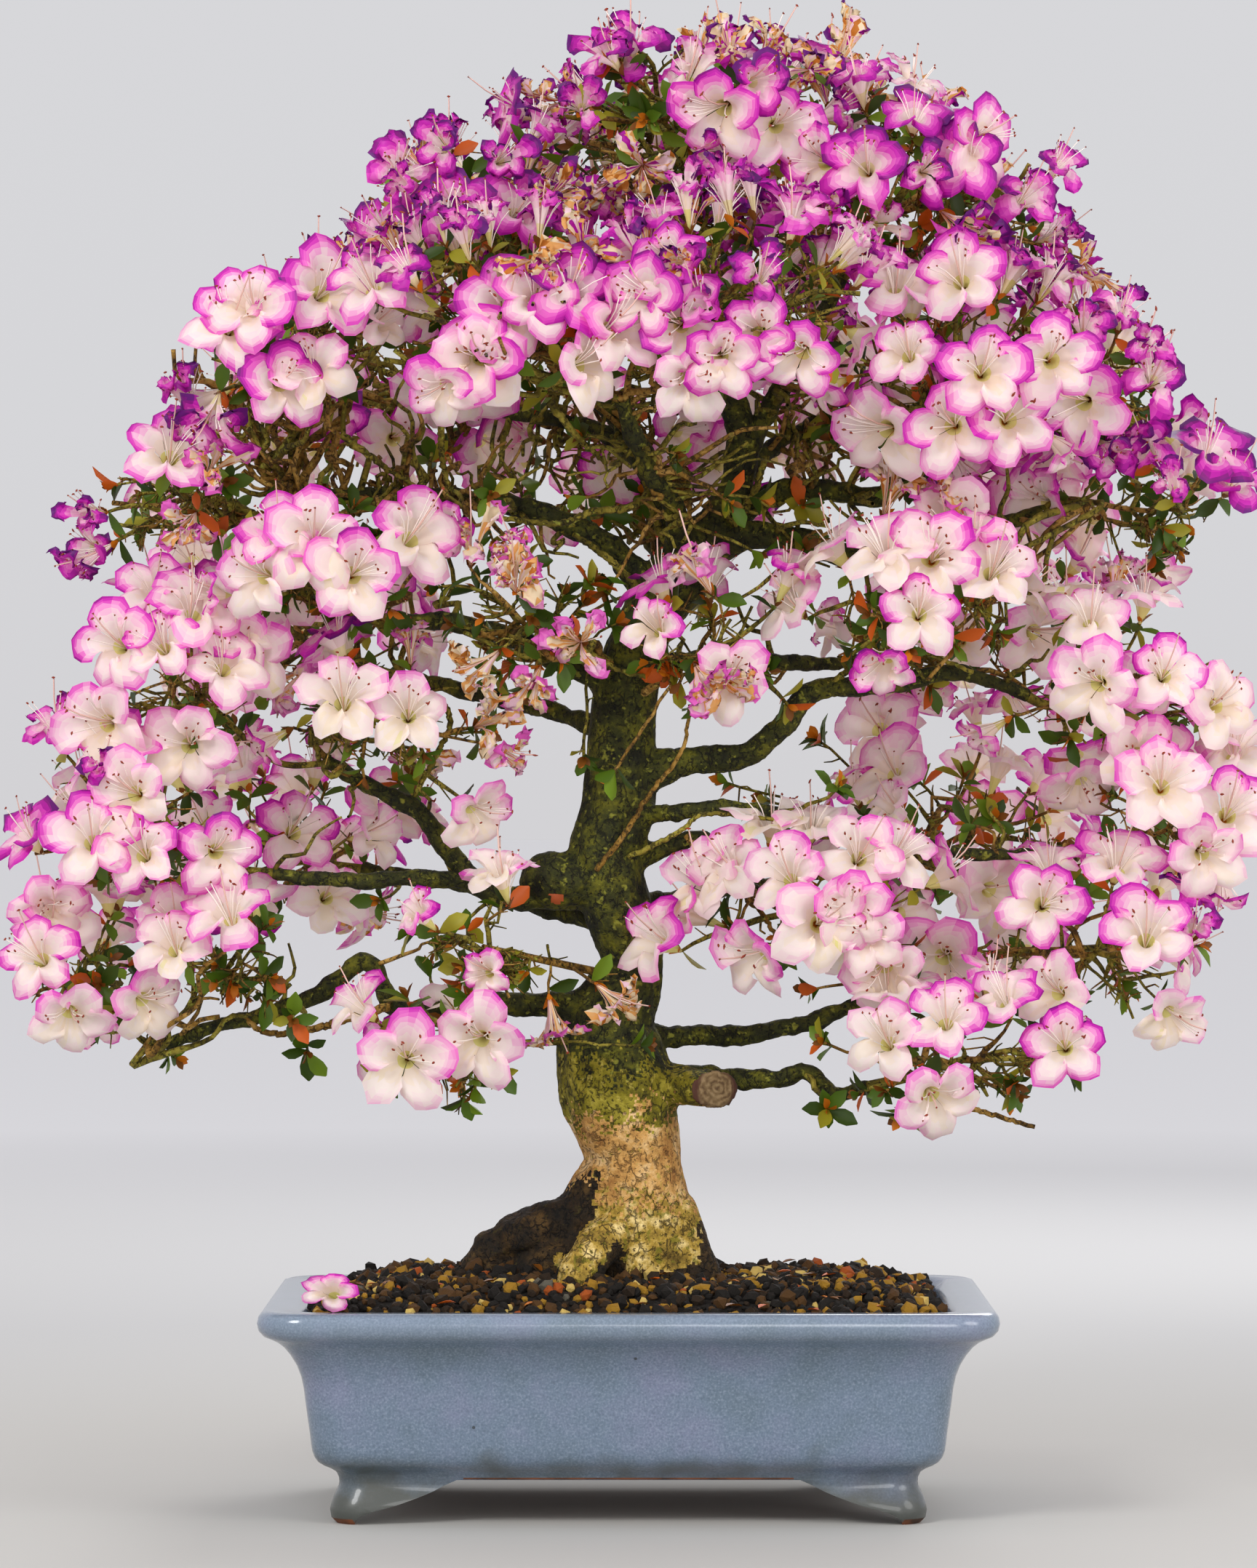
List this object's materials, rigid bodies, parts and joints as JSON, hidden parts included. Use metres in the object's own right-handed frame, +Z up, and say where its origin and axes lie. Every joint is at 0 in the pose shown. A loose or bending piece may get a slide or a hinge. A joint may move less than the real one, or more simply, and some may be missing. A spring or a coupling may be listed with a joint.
{
  "type": "azalea bonsai in a pot",
  "caption": "Flowering azalea bonsai with a curved, tapering trunk, spreading boughs and open masses of blossom and leaves, in a glazed rectangular pot on bracket feet.",
  "frame": {"origin": "under the middle of the whole plant's box, at the level that the pot's feet stand on", "axes": "+Z up, +X along the pot's long side to the viewer's right, -Y towards the pot's front"},
  "size_m": [0.7908, 0.4392, 0.9308],
  "materials": {
    "glaze": "glossy",
    "soil": "matte",
    "bark": "matte",
    "foliage": "matte"
  },
  "bodies": {
    "root": {"pot": "glaze", "soil": "soil", "trunk": "bark", "bough_back_centre": "bark", "bough_back_high_left": "bark", "bough_back_high_right": "bark", "bough_back_low_left": "bark", "bough_back_low_right": "bark", "bough_back_mid_left": "bark", "bough_back_mid_right": "bark", "bough_crown_left": "bark", "bough_crown_right": "bark", "bough_elbow_right": "bark", "bough_front": "bark", "bough_knot_left": "bark", "bough_knot_low": "bark", "bough_leader": "bark", "bough_low_left": "bark", "bough_low_right": "bark", "bough_low_right_long": "bark", "bough_mid_left": "bark", "bough_mid_right": "bark", "bough_right_arm": "bark", "bough_right_high": "bark", "bough_right_thin": "bark", "bough_upper_left": "bark", "mass_apex": "foliage", "mass_crown_back": "foliage", "mass_crown_left": "foliage", "mass_crown_right": "foliage", "mass_front_left": "foliage", "mass_front_right": "foliage", "mass_inner_left": "foliage", "mass_inner_right": "foliage", "mass_left_tip": "foliage", "mass_low_left": "foliage", "mass_low_left_back": "foliage", "mass_low_left_inner": "foliage", "mass_low_left_outer": "foliage", "mass_low_right": "foliage", "mass_low_right_back": "foliage", "mass_low_right_front": "foliage", "mass_low_right_outer": "foliage", "mass_mid_left": "foliage", "mass_mid_left_back": "foliage", "mass_mid_left_inner": "foliage", "mass_mid_left_outer": "foliage", "mass_mid_right": "foliage", "mass_mid_right_back": "foliage", "mass_mid_right_outer": "foliage", "mass_right_thin": "foliage", "mass_right_tip": "foliage", "mass_small_left": "foliage", "mass_sprig_left": "foliage", "mass_upper_back": "foliage", "mass_upper_back_left": "foliage", "mass_upper_back_right": "foliage", "mass_upper_left": "foliage", "mass_upper_right": "foliage", "mass_upper_right_far": "foliage"}
  },
  "joints": []
}
